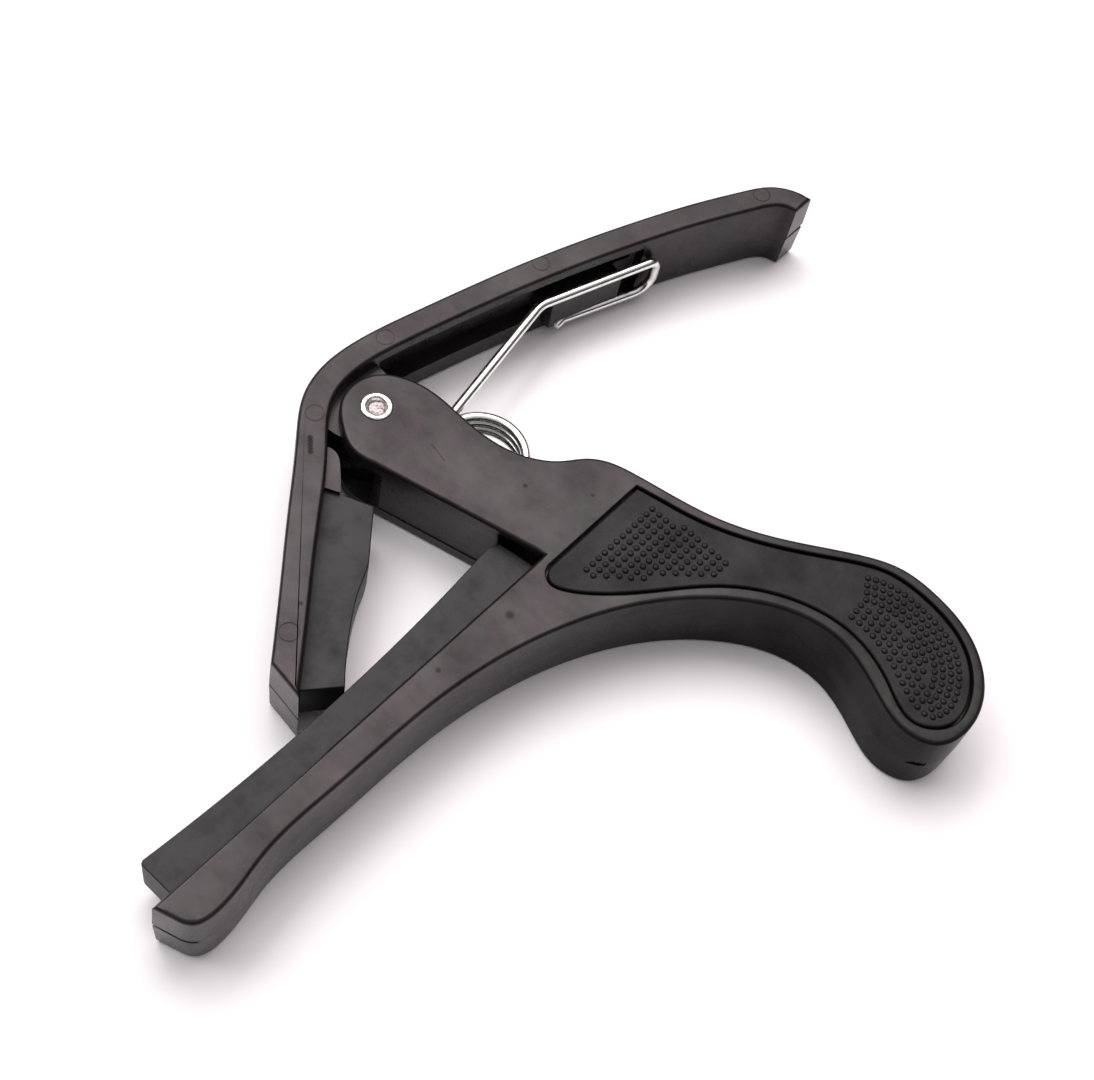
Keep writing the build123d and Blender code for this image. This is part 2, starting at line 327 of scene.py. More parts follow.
class Shader:
    """Small helper that adds nodes to one material."""

    def __init__(self, name):
        self.material = bpy.data.materials.new(name)
        self.material.use_nodes = True
        self.tree = self.material.node_tree
        self.bsdf = self.tree.nodes["Principled BSDF"]
        coordinates = self.tree.nodes.new("ShaderNodeTexCoord")
        self.object = coordinates.outputs["Object"]

    def put(self, socket, value):
        """Link a socket, or set a constant, on an input."""
        if isinstance(value, bpy.types.NodeSocket):
            self.tree.links.new(value, socket)
        elif value is not None:
            socket.default_value = value

    def node(self, kind, inputs=None, **settings):
        """New node with its inputs linked or set."""
        n = self.tree.nodes.new(kind)
        for key, value in settings.items():
            setattr(n, key, value)
        for key, value in (inputs or {}).items():
            self.put(n.inputs[key], value)
        return n

    def math(self, operation, a, b=None):
        return self.node("ShaderNodeMath", {0: a, 1: b}, operation=operation).outputs[0]

    def times(self, a, b):
        return self.math("MULTIPLY", a, b)

    def noise(self, scale, detail=3.0, rough=0.55, vector=None):
        n = self.node("ShaderNodeTexNoise", {
            "Vector": vector or self.object, "Scale": scale, "Detail": detail, "Roughness": rough})
        return n.outputs[0]

    def turned(self, scale, angle):
        """Object coordinates stretched by scale and turned about the vertical axis."""
        n = self.node("ShaderNodeMapping", {"Vector": self.object, "Scale": scale, "Rotation": (0, 0, angle)})
        return n.outputs[0]

    def ranged(self, value, low, high, to_low=0.0, to_high=1.0, smooth=False):
        """Value mapped and clamped from one range to another."""
        n = self.node("ShaderNodeMapRange", {
            "Value": value, "From Min": low, "From Max": high, "To Min": to_low, "To Max": to_high})
        n.clamp = True
        if smooth:
            n.interpolation_type = "SMOOTHSTEP"
        return n.outputs[0]

    def mix(self, factor, a, b):
        """Colour between a and b, which are the node's inputs 6 and 7 and its output 2."""
        return self.node("ShaderNodeMix", {0: factor, 6: a, 7: b}, data_type="RGBA").outputs[2]

    def axis(self, name):
        return self.node("ShaderNodeSeparateXYZ", {0: self.object}).outputs[name]

    def distance(self, x, y):
        """Distance in millimetres from a vertical line through (x, y)."""
        flat = self.node("ShaderNodeVectorMath", {0: self.object, 1: (1000, 1000, 0)}, operation="MULTIPLY")
        n = self.node("ShaderNodeVectorMath", {0: flat.outputs[0], 1: (x, y, 0)}, operation="DISTANCE")
        return n.outputs["Value"]

    def rings(self, marks, width):
        """Faint circles at (x, y, radius); 1 on each line."""
        total = None
        for x, y, r in marks:
            off = self.math("ABSOLUTE", self.math("SUBTRACT", self.distance(x, y), r))
            line = self.ranged(off, 0, width, 1, 0, smooth=True)
            total = line if total is None else self.math("MAXIMUM", total, line)
        return total

    def spots(self, marks):
        """Soft discs at (x, y, radius); 1 at each centre."""
        total = None
        for x, y, r in marks:
            disc = self.ranged(self.distance(x, y), 0, r, 1, 0, smooth=True)
            total = disc if total is None else self.math("MAXIMUM", total, disc)
        return total

    def upright(self):
        """1 on upright faces, 0 on level ones."""
        normal = self.node("ShaderNodeNewGeometry").outputs["Normal"]
        level = self.math("ABSOLUTE", self.node("ShaderNodeSeparateXYZ", {0: normal}).outputs["Z"])
        return self.ranged(level, 0.5, 0.97, 1, 0, smooth=True)

    def wall(self, start, end):
        """Mask for painted shade: 1 on the outer side walls beyond x = end, falling to 0 at x = start
        (millimetres).
        """
        along = self.ranged(self.axis("X"), start * MM, end * MM, smooth=True)
        outside = self.ranged(self.axis("Y"), -36 * MM, -31 * MM, 1, 0)
        return self.times(self.times(self.upright(), along), outside)

    def bump(self, height, distance, strength, normal=None):
        n = self.node("ShaderNodeBump", {"Height": height, "Distance": distance, "Strength": strength})
        if normal is not None:
            self.put(n.inputs["Normal"], normal)
        return n.outputs["Normal"]

    def set(self, **inputs):
        """Fill the surface's inputs and give the finished material."""
        for key, value in inputs.items():
            self.put(self.bsdf.inputs[key.replace("_", " ")], value)
        return self.material


HANDLE_SHADE_FROM, HANDLE_SHADE_TO = -64, -44     # y range over which the painted shade on the lower handle fades out
HANDLE_SHADE_SHEEN = 0.56


def moulded_plastic(name, wall, rings=(), spots=(), smudges=()):
    """Satin black moulding with a cloudy sheen, fine grain, faint scuffs and marks of the mould.

    Painted shade: the outer side walls lose sheen and darken over the x range given as wall, and the lower handle
    loses sheen.
    """
    s = Shader(name)
    cloud = s.noise(110, 5, 0.62)
    patch = s.noise(330, 4, 0.6, s.turned((1, 0.55, 1), 0.6))
    speck = s.noise(2600, 2, 0.5)
    scuff = s.ranged(s.noise(260, 5, 0.7, s.turned((1, 9, 1), 0.7)), 0.60, 0.72)
    tone = s.math("ADD", s.times(s.ranged(cloud, 0.35, 0.65), 0.7), s.times(speck, 0.3))
    colour = s.mix(tone, rgb(22, 21, 21), rgb(33, 28, 28))
    roughness = s.math("ADD", s.ranged(patch, 0.35, 0.65, 0.25, 0.34), s.times(scuff, 0.02))
    sheen = s.math("ADD", s.ranged(cloud, 0.36, 0.64, 0.26, 0.39), s.ranged(patch, 0.35, 0.65, -0.05, 0.05))
    # painted shade: the lower handle loses sheen, and its specular tint turns from pink to neutral there
    handle_shade = s.ranged(s.axis("Y"), HANDLE_SHADE_FROM * MM, HANDLE_SHADE_TO * MM, HANDLE_SHADE_SHEEN, 1, smooth=True)
    sheen = s.times(sheen, handle_shade)
    warm = s.times(s.ranged(s.noise(75, 4, 0.6), 0.4, 0.6, 1, 0.15), s.ranged(handle_shade, HANDLE_SHADE_SHEEN, 1))
    tint = s.mix(warm, (0.95, 0.965, 0.96, 1), (1.0, 0.87, 0.91, 1))
    height = s.math("ADD", s.times(speck, 0.6), s.times(s.noise(700, 3), 0.8))
    normal = s.bump(height, 0.00002, 0.15)
    # painted shade: side walls and their rounded rims towards the handle lose sheen and are darkened towards near
    # black
    upright = s.wall(*wall)
    sheen = s.times(sheen, s.ranged(upright, 0, 1, 1, 0.35))
    colour = s.mix(s.times(upright, 0.5), colour, rgb(14, 13, 13))
    near_face = s.math("GREATER_THAN", s.axis("Z"), (THICK - 0.1) * MM)
    black = rgb(8, 7, 7)
    if rings:
        line = s.times(s.rings(rings, 0.17), near_face)
        sheen = s.times(sheen, s.ranged(line, 0, 1, 1, 0.62))
        normal = s.bump(s.times(line, -1), 0.00004, 0.5, normal)
    disc = s.times(s.spots(spots), near_face)
    sheen = s.times(sheen, s.ranged(disc, 0, 0.7, 1, 0.4))
    if smudges:
        dark = s.times(s.spots(smudges), near_face)
        sheen = s.times(sheen, s.ranged(dark, 0, 0.6, 1, 0.35))
        normal = s.bump(s.times(dark, -1), 0.00012, 0.6, normal)
        colour = s.mix(s.times(dark, 0.6), colour, black)
    return s.set(
        Base_Color=colour, Roughness=roughness, Normal=normal, Specular_IOR_Level=sheen, Specular_Tint=tint)


def soft_grip(name):
    """Dull, slightly rubbery black inlay with a fine grain."""
    s = Shader(name)
    cloud = s.noise(150, 4, 0.6)
    grain = s.noise(3000, 2)
    colour = s.mix(s.ranged(cloud, 0.35, 0.65), rgb(19, 18, 18), rgb(27, 26, 26))
    sheen = s.ranged(cloud, 0.35, 0.65, 0.14, 0.22)
    normal = s.bump(s.math("ADD", cloud, s.times(grain, 0.4)), 0.00004, 0.4)
    roughness = s.ranged(grain, 0.3, 0.7, 0.40, 0.5)
    return s.set(Base_Color=colour, Roughness=roughness, Normal=normal, Specular_IOR_Level=sheen)


def rubber(name, spots, shaded_end=False):
    """Matt dusty rubber with a slightly uneven skin; the last argument paints shade on the end face at the neck
    pad's tip, which loses nearly all its sheen.
    """
    s = Shader(name)
    cloud = s.noise(160, 4, 0.6)
    smear = s.ranged(s.noise(240, 4, 0.65), 0.45, 0.66)
    grain = s.noise(4200, 2)
    colour = s.mix(s.ranged(cloud, 0.35, 0.65), rgb(29, 28, 29), rgb(37, 36, 36))
    colour = s.mix(s.times(smear, 0.35), colour, rgb(20, 21, 20))
    normal = s.bump(s.math("ADD", cloud, s.times(grain, 0.25)), 0.00006, 0.4)
    sheen = s.ranged(smear, 0, 1, 0.31, 0.22)
    disc = s.times(s.spots(spots), s.ranged(s.noise(500, 3), 0.3, 0.6))
    sheen = s.times(sheen, s.ranged(disc, 0, 1, 1, 0.75))
    if shaded_end:
        # painted shade in the crevice at the neck pad's tip: upright faces there lose nearly all sheen
        end_face_shade = s.ranged(s.axis("Y"), -25.5 * MM, -22 * MM, 1, 0, smooth=True)
        sheen = s.times(sheen, s.ranged(s.times(s.upright(), end_face_shade), 0, 1, 1, 0.1))
    roughness = s.ranged(cloud, 0.3, 0.7, 0.45, 0.56)
    return s.set(Base_Color=colour, Roughness=roughness, Normal=normal, Specular_IOR_Level=sheen)


def plated(name, colour, rough, grain_scale, depth, core=None):
    """Bright plated steel with fine marks and small dull patches; core is the radius of a dull middle."""
    s = Shader(name)
    fine = s.noise(grain_scale, 4, 0.65)
    patch = s.ranged(s.noise(420, 3), 0.58, 0.74)
    tone = s.mix(s.times(patch, 0.35), colour, (0.25, 0.24, 0.22, 1))
    roughness = s.ranged(fine, 0.3, 0.7, rough - 0.05, rough + 0.09)
    normal = s.bump(fine, depth, 0.5)
    if core:
        inside = s.ranged(s.distance(0, 0), core - 0.12, core + 0.05, 1, 0, smooth=True)
        middle = s.times(inside, s.math("GREATER_THAN", s.axis("Z"), (THICK - 1) * MM))
        worn = s.mix(s.ranged(fine, 0.4, 0.62), (0.22, 0.19, 0.185, 1), (0.56, 0.50, 0.49, 1))
        tone = s.mix(middle, tone, worn)
        roughness = s.math("ADD", roughness, s.times(middle, 0.25))
    return s.set(Base_Color=tone, Metallic=1.0, Normal=normal, Roughness=roughness)


# Marks on the near faces, as (x, y, radius)
EJECTOR_MARKS = [(-33, -17, 1.35), (-7, 5, 1.3), (9.3, 7.5, 1.3), (36, 1.5, 1.3), (72, -12.5, 1.3)]
SINK = [(-11.1 + 0.68 * k, 1.7 + 0.73 * k, 0.6) for k in (-1.1, -0.55, 0, 0.55, 1.1)]
SCRATCH = [(1.2 - 0.07 * k, -9.7 - 0.35 * k, 0.2) for k in range(9)]
BODY_SPOTS = [(-10.2, -35.2, 1.0), (-22.9, -34.2, 0.6), (6, -23, 0.5), (11.8, -30.5, 0.4)]
BODY_SHADED_WALL = (-24, 12)
LEVER_SHADED_WALL = (120, 140)         # past the lever's end, so none of its walls gets painted shade
body_plastic = moulded_plastic("satin_plastic_body", BODY_SHADED_WALL, spots=BODY_SPOTS + SCRATCH)
lever_plastic = moulded_plastic("satin_plastic_lever", LEVER_SHADED_WALL, EJECTOR_MARKS, [(-29, -15, 0.5)], SINK)
grip_plastic = soft_grip("soft_plastic_grip")
pad_rubber = rubber("pad_rubber", [(-42, -29.6, 2.6), (-17, -29, 3.0), (-29, -30, 2.2), (-9, -28, 2.4)])
neck_rubber = rubber("neck_pad_rubber", [(-23.4, -14.9, 3.2), (-29.5, -22.5, 2.2)], shaded_end=True)
spring_steel = plated("plated_spring_wire", (0.78, 0.78, 0.76, 1), 0.2, 900, 0.00001)
rivet_steel = plated("plated_rivet", (0.74, 0.72, 0.70, 1), 0.26, 2400, 0.00005, core=1.3)


def dress(piece, material, body, node):
    """Give a finished piece its material and body, and hide the CAD node that it stands for."""
    piece.data.materials.clear()
    piece.data.materials.append(material)
    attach(piece, body)
    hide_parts(node)


# ---------------------------------------------------------------- main body

TIP_CORNER, WALL_FOOT, WALL_HEAD = (-70.1, ARM_TOP), (-0.2, ARM_TOP), (-6.95, -6.3)
BODY_RIM = [
    WALL_HEAD, (-7.5, -2.6), (-5.6, 1.6), (-3.1, 4.2), (0.2, 5.2), (3.6, 4.4), (6.5, 1.3), (7.9, -2.9),
    (8.1, -8.0), (8.1, -12.5), (8.7, -16.4), (10.2, -20.1), (12.9, -23.4), (15.9, -25.6), (18.0, -28.4),
    (19.2, -32.0), (20.4, -37.3), (22.2, -44.1), (26.5, -53.0), (33.0, -62.8), (35.5, -68.1), (35.9, -74.0),
    (34.4, -81.1), (28.6, -88.0), (22.3, -89.7), (17.3, -87.9), (15.6, -83.0), (17.4, -77.0), (19.7, -69.5),
    (18.7, -62.8), (14.0, -55.1), (5.0, -47.2), (-7.9, -41.0), (-25.0, -37.4), (-44.0, -36.7),
    (-56.0, -36.9), (-64.5, -38.2), (-67.7, -37.5), (-69.2, -34.9)]
GRIP_RIM = [
    (17.4, -34.0), (18.1, -37.0), (19.3, -42.0), (23.2, -51.3), (29.8, -61.4), (33.2, -67.5), (33.8, -73.0),
    (31.6, -82.0), (26.3, -86.7), (20.9, -87.2), (17.8, -83.6), (19.8, -77.7), (22.1, -69.0), (20.2, -60.6),
    (14.3, -52.1), (5.0, -44.7), (0.0, -40.1), (-1.9, -37.6), (-2.5, -35.7), (-1.7, -34.4), (0.0, -34.0)]


def moulding_layers(seam):
    """Side profile of a moulding: rounded rims, drafted sides and a parting line of the given depth."""
    low = [(a + DRAFT, z) for a, z in rim(EDGE, 0, True, 5)]
    high = [(a + DRAFT, z) for a, z in rim(EDGE, THICK, False, 5)]
    lips, floor = 0.38, 0.2         # half widths of the parting line at its lips and at its floor
    groove = [(0, MID - lips), (seam, MID - floor), (seam, MID + floor), (0, MID + lips)]
    return low + groove + high


def seam_depth(outline, spans, depth=0.55):
    """Depth of the parting line: only inside circles (x, y, radius), fading out at their edges."""
    out = np.zeros(len(outline))
    for x, y, r in spans:
        d = np.hypot(outline[:, 0] - x, outline[:, 1] - y)
        out = np.maximum(out, depth * np.clip(r - d, 0, 1))
    return out


def make_body():
    outline = loop(
        segment(TIP_CORNER, WALL_FOOT), segment(WALL_FOOT, WALL_HEAD), spline(BODY_RIM),
        segment((-69.2, -34.9), TIP_CORNER))
    outline = clear_corners(outline)
    body = stack("capo_body", outline, moulding_layers(seam_depth(outline, [(-69.8, -34.6, 3.8)])))
    hollow = loop(
        segment((-14, 14), (-14, -8.0), 5), segment((-14, -8.0), (-6.5, -8.0), 5),
        segment((-6.5, -8.0), (-5.18, -5.2), 3), segment((-5.18, -5.2), (-1.29, -20.0), 3),
        arc_through((-1.29, -20.0), (7.7, -22.4), (16.7, -18.9)), segment((16.7, -18.9), (26, 14), 5))
    cut(body, prism("hollow", hollow, CHEEK, THICK - CHEEK))
    turned = Matrix.Rotation(math.radians(LEG_ANGLE), 2)
    foot = math.radians(FOOT_ANGLE)
    start = Vector((COIL_CENTRE[0] + COIL_R * math.cos(foot), COIL_CENTRE[1] + COIL_R * math.sin(foot)))
    corners = [start + turned @ Vector(c) for c in ((0, -1.15), (26.5, -1.15), (26.5, 1.15), (0, 1.15))]
    cut(body, prism("leg_slot", loop(np.array([tuple(c) for c in corners])), 3.2, THICK - 3.2))
    # the wall between the cheeks stands back a little from their edges
    panel = np.array([(-2.4, -26.4), (-1.4, -26.4), (-7.3, -4), (-8.3, -4)], float)
    cut(body, prism("wall_panel", panel, CHEEK + 0.05, THICK - CHEEK - 0.05))
    # room for the heel of the fret pad at the wall's foot
    recess = np.array([(-6, ARM_TOP), (2.6, ARM_TOP), (2.6, -25.4), (-6, -25.4)], float)
    cut(body, prism("recess", recess, 0.9, THICK - 0.9))
    low, high = ARM_TOP - 0.8, ARM_TOP + 1
    seat = np.array([(-66.9, low), (-0.3, low), (-0.3, high), (-66.9, high)])
    cut(body, prism("pad_seat", seat, PAD_LOW, PAD_HIGH))
    pocket = inset(grip_outline(), -GROOVE)
    lip = 0.25          # radius at the pocket's edge
    flare = [(-lip * (1 - math.cos(t)), THICK - lip * (1 - math.sin(t))) for t in (0, 0.5, 1.0, 1.57)]
    cut(body, stack("pocket", pocket, [(0, GRIP_FLOOR)] + flare + [(-lip, THICK + 1)]))
    flare_low = [(a, THICK - z) for a, z in reversed(flare)]
    cut(body, stack("pocket_far", pocket, [(-lip, -1)] + flare_low + [(0, THICK - GRIP_FLOOR)]))
    cut(body, lathe("bore", [
        (0, -1), (HEAD_BORE_R, -1), (HEAD_BORE_R, HEAD_DEPTH), (BORE_R, HEAD_DEPTH), (BORE_R, THICK + 1),
        (0, THICK + 1)]))
    gate = np.array([(14.9, -86.2), (16.8, -88.8), (17.75, -88.15), (15.85, -85.55)])
    cut(body, prism("gate_mark", gate, MID - 0.5, MID + 0.5))
    return finish_mesh(body)


def grip_outline():
    return loop(segment(GRIP_RIM[-1], GRIP_RIM[0]), spline(GRIP_RIM))


dress(make_body(), body_plastic, "body", "main_body")

# ---------------------------------------------------------------- neck lever

LEVER_OUTER = [
    (-37.8, -18.4), (-29.2, -11.0), (-20.6, -3.5), (-12.0, 3.9), (-5.9, 8.7), (0.2, 10.4), (6.0, 10.2),
    (16.0, 8.2), (34.0, 3.7), (52.0, -2.1), (64.0, -6.8), (70.5, -9.8), (74.8, -12.4), (77.1, -15.8),
    (77.7, -18.4)]
LEVER_INNER = [
    (73.6, -18.4), (72.9, -16.4), (69.5, -14.1), (60.1, -9.9), (50.1, -6.1), (36.0, -1.5), (20.0, 2.8),
    (10.0, 5.1), (2.0, 6.1), (-3.0, 5.1), (-9.65, -0.35), (-19.3, -8.5), (-28.9, -16.6), (-38.6, -24.7)]
LUG_R = 5.7
BAR_TIP = np.array((-38.6, -24.7))
BAR_ALONG = np.array((28.95, 24.35)) / math.hypot(28.95, 24.35)
BAR_ACROSS = np.array((-BAR_ALONG[1], BAR_ALONG[0]))


def make_lever():
    outline = loop(
        segment(BAR_TIP, LEVER_OUTER[0]), spline(LEVER_OUTER), segment(LEVER_OUTER[-1], LEVER_INNER[0]),
        spline(LEVER_INNER))
    outline = clear_corners(outline)
    seam = seam_depth(outline, [(-38.2, -21.5, 4.5), (77.0, -18.4, 2.6)])
    lever = stack("capo_lever", outline, moulding_layers(seam))
    # channel: deep near the pivot, shallow past it, with a ledge between the two strands of the spring's end
    floor = spline([(6.6, 8.1), (20.0, 5.1), (34.0, 1.2), (50.6, -4.2)], 1.5)
    channel = loop(floor, segment((50.6, -4.2), (50.6, -12), 3), segment((50.6, -12), (6.6, -2), 5),
                   segment((6.6, -2), (6.6, 8.1), 3))
    near_pivot = np.array([(0, -14), (34.5, -14), (34.5, 14), (0, 14)], float)
    deep = prism("deep", channel, 4.1, CHANNEL_TOP)
    cut(deep, prism("near_pivot", near_pivot, 0, THICK), "INTERSECT")
    cut(lever, deep)
    cut(lever, prism("channel", channel, 8.35, CHANNEL_TOP))
    ledge = np.array([(35.4, 0.6), (35.1, -2.85), (47.0, -6.35), (47.3, -3.2)])
    cut(lever, prism("ledge", ledge, 2.3, 8.3), "UNION")
    seat = rounded([(47.6, -3.6), (51.5, -4.9), (50.7, -12), (46.8, -9)], 0.3, 3)
    cut(lever, prism("seat", seat, 1.5, CHANNEL_TOP))
    lug = lathe("lug", [(0, LUG_LOW), (LUG_R, LUG_LOW), (LUG_R, LUG_HIGH), (0, LUG_HIGH)])
    web = loop(np.array([
        (-6.5, 3.6), (-6.3, 1.9), (-5.3, -2.0), (5.4, -1.8), (6.4, 6.4), (2, 8.0), (-3.5, 6.4)]))
    shelf = loop(
        np.array([(-12.9, -2.2), (-13.4, -3.5)]),
        spline([(-12.4, -5.5), (-9.6, -2.7), (-8.3, -0.6), (-8.5, 0.8), (-9.8, 2.0)], 0.4))
    cut(lever, lug, "UNION")
    cut(lever, prism("web", web, LUG_LOW, LUG_HIGH), "UNION")
    cut(lever, prism("shelf", shelf, LUG_LOW, LUG_HIGH), "UNION")
    a = BAR_TIP + BAR_ALONG * 2.2
    b = BAR_TIP + BAR_ALONG * 33.4
    face, back, slant = BAR_ACROSS * -0.05, BAR_ACROSS * 0.8, BAR_ALONG * 0.2
    seat = loop(np.array([a + face, b + face - slant, b + back + slant, a + back]))
    cut(lever, prism("pad_seat", seat, PAD_LOW, PAD_HIGH))
    cut(lever, lathe("bore", [(0, -1), (BORE_R, -1), (BORE_R, THICK + 1), (0, THICK + 1)]))
    return finish_mesh(lever)


dress(make_lever(), lever_plastic, "lever", "neck_lever")

# ---------------------------------------------------------------- rubber pads


def make_fret_pad():
    low = ARM_TOP - 0.78
    face = arc_through((-3.2, -25.2), (-35.0, -27.1), (-66.1, -26.0), 90)
    outline = loop(
        segment((-66.65, low), (-0.65, low), 1.5), segment((-0.65, low), (-1.7, -25.9), 1), face,
        np.array([(-66.5, -26.2), (-66.65, -26.6)]), segment((-66.65, -26.6), (-66.65, low), 1))
    return finish_mesh(prism("fret_pad_rubber", outline, PAD_LOW, PAD_HIGH, PAD_RIM), 40)


def make_neck_pad():
    back = BAR_TIP + BAR_ACROSS * 0.75
    tip, heel = back + BAR_ALONG * 2.4, back + BAR_ALONG * 33.6
    face = spline([(-16.6, -15.5), (-18.2, -16.5), (-20.4, -17.6), (-24.9, -20.5), (-32.1, -26.6)])
    outline = clear_corners(loop(
        segment(tip, heel), segment(heel, (-10.2, -10.0)), segment((-10.2, -10.0), (-16.6, -15.5)), face,
        segment((-32.1, -26.6), tip)), 0.6)
    return finish_mesh(prism("neck_pad_rubber", outline, PAD_LOW, PAD_HIGH, PAD_RIM), 40)


dress(make_fret_pad(), pad_rubber, "body", "fret_pad")
dress(make_neck_pad(), neck_rubber, "lever", "neck_pad")

# ---------------------------------------------------------------- grip inlays with raised dots


def upper_dots():
    """Square grid of dots at the wide end of the inlay; each row starts further along the slanted edge."""
    pitch, top = 1.265, -37.7
    starts = [2.0, 2.0, 3.4, 4.5, 6.0, 7.2, 9.6, 11.0, 12.3, 13.5, 14.7]
    out = []
    for row, start in enumerate(starts):
        end = 16.4 if row < 4 else 17.4
        count = int((end - start) / pitch + 0.5) + 1
        out += [(end - k * pitch, top - row * pitch) for k in range(count)]
    return out


def lower_dots():
    """Dots at the rounded end of the inlay, in rows that follow its two edges and meet in the middle."""
    fine = 0.05
    inner = spline([
        (23.9, -67.9), (23.9, -70.6), (23.4, -73.4), (22.4, -76.3), (21.0, -79.2), (19.9, -82.1),
        (19.7, -84.6)], fine)
    outer = spline([
        (30.4, -65.8), (31.6, -68.2), (32.2, -71.5), (32.0, -75.6), (30.7, -80.6), (28.5, -83.3),
        (25.1, -85.3), (22.0, -85.7), (19.7, -84.6)], fine)
    fence = np.vstack([inner, outer[::-1]])
    # (edge, pitch along a row, gap between rows, side that the rows step to, number of rows)
    families = ((outer, 1.12, 1.15, -1, 6), (inner, 1.28, 1.2, 1, 4))
    closest = 0.93
    out = []
    for row in range(6):
        for edge, pitch, gap, side, rows in families:
            if row >= rows:
                continue
            along = np.gradient(edge, axis=0)
            along /= np.linalg.norm(along, axis=1)[:, None]
            line = edge + np.c_[-along[:, 1], along[:, 0]] * side * row * gap
            travelled = np.concatenate([[0], np.cumsum(np.linalg.norm(np.diff(line, axis=0), axis=1))])
            for reach in np.arange(0, travelled[-1], pitch):
                p = line[np.searchsorted(travelled, reach)]
                near = min([math.dist(p, q) for q in out], default=9)
                if near > closest and (row == 0 or in_fence(p, fence)):
                    out.append(tuple(p))
    return out


def in_fence(p, fence):
    """Whether a point lies inside a closed outline."""
    a, b = fence, np.roll(fence, -1, axis=0)
    spans = (a[:, 1] > p[1]) != (b[:, 1] > p[1])
    a, b = a[spans], b[spans]
    return np.sum(a[:, 0] + (p[1] - a[:, 1]) / (b[:, 1] - a[:, 1]) * (b[:, 0] - a[:, 0]) > p[0]) % 2 == 1


def dot_mesh(bm, x, y, z, side):
    """Low round-topped stud on the near (side 1) or the far (side -1) face, sunk a little into it."""
    radius, height, sunk = 0.46, 0.27, 0.05
    around, steps = 14, 4
    rings = []
    for k in range(steps):
        t = math.pi / 2 * k / steps
        r = radius * math.cos(t) ** 0.7
        h = height * math.sin(t)
        rings.append([
            bm.verts.new(((x + r * math.cos(2 * math.pi * i / around)) * MM,
                          (y + r * math.sin(2 * math.pi * i / around)) * MM, (z + side * h) * MM))
            for i in range(around)])
    foot = [bm.verts.new((v.co.x, v.co.y, (z - side * sunk) * MM)) for v in rings[0]]
    bm.faces.new(foot[::-1] if side > 0 else foot)
    rings.insert(0, foot)
    for a, b in zip(rings, rings[1:]):
        for i in range(around):
            j = (i + 1) % around
            bm.faces.new((a[i], a[j], b[j], b[i]) if side > 0 else (a[j], a[i], b[i], b[j]))
    top = bm.verts.new((x * MM, y * MM, (z + side * height) * MM))
    for i in range(around):
        j = (i + 1) % around
        bm.faces.new((rings[-1][i], rings[-1][j], top) if side > 0 else (rings[-1][j], rings[-1][i], top))


def make_grip(name, side):
    """Inlay with softly rounded rim, and its fields of dots, on one side of the body."""
    outline = grip_outline()
    if side > 0:
        z = GRIP_FACE
        layers = [(0.0, GRIP_FLOOR)] + rim(GRIP_RIM_R, z, False, 5)
    else:
        z = GRIP_FACE_FAR
        layers = rim(GRIP_RIM_R, z, True, 5) + [(0.0, THICK - GRIP_FLOOR)]
    grip = finish_mesh(stack(name, outline, layers), 40)
    bm = bmesh.new()
    bm.from_mesh(grip.data)
    for x, y in upper_dots() + lower_dots():
        dot_mesh(bm, x, y, z, side)
    for face in bm.faces:
        face.smooth = True
    bm.to_mesh(grip.data)
    bm.free()
    return grip


dress(make_grip("grip_inlay_near", 1), grip_plastic, "body", "grip_near")
dress(make_grip("grip_inlay_far", -1), grip_plastic, "body", "grip_far")

# ---------------------------------------------------------------- spring


def bent(points, radii, steps=10):
    """Points along a route in space whose corners are rounded by arcs."""
    p = [Vector(q) for q in points]
    out = [p[0]]
    for i, r in enumerate(radii, 1):
        u, v = (p[i - 1] - p[i]).normalized(), (p[i + 1] - p[i]).normalized()
        half = u.angle(v) / 2
        centre = p[i] + (u + v).normalized() * (r / math.sin(half))
        a, b = p[i] + u * (r / math.tan(half)) - centre, p[i] + v * (r / math.tan(half)) - centre
        for k in range(steps + 1):
            out.append(centre + a.normalized().slerp(b.normalized(), k / steps) * r)
    out.append(p[-1])
    return out


def spaced(points, step):
    """The same route with points added so that none is further apart than step."""
    out = [points[0]]
    for a, b in zip(points, points[1:]):
        count = max(1, math.ceil((b - a).length / step))
        out += [a + (b - a) * (k / count) for k in range(1, count + 1)]
    return out


def tube(name, route, radius, around=20):
    """Round wire along a route, with slightly rounded cut ends."""
    bm = bmesh.new()
    rings = []
    tangents = [(b - a).normalized() for a, b in zip(route, route[1:])]
    tangents = [tangents[0]] + [(a + b).normalized() for a, b in zip(tangents, tangents[1:])] + [tangents[-1]]
    side = tangents[0].orthogonal().normalized()
    ends = {0: [(0.0, 0.62), (0.12, 0.9)], len(route) - 1: [(-0.12, 0.9), (0.0, 0.62)]}
    for i, (p, t) in enumerate(zip(route, tangents)):
        side = (side - t * side.dot(t)).normalized()
        other = t.cross(side)
        for shift, scale in ends.get(i, [(0.0, 1.0)]):
            c = p + t * shift
            rings.append([
                bm.verts.new((c + (side * math.cos(2 * math.pi * k / around)
                                   + other * math.sin(2 * math.pi * k / around)) * radius * scale) * MM)
                for k in range(around)])
    for a, b in zip(rings, rings[1:]):
        for k in range(around):
            j = (k + 1) % around
            bm.faces.new((a[k], a[j], b[j], b[k]))
    bm.faces.new(rings[0][::-1])
    bm.faces.new(rings[-1])
    return new_object(name, bm)


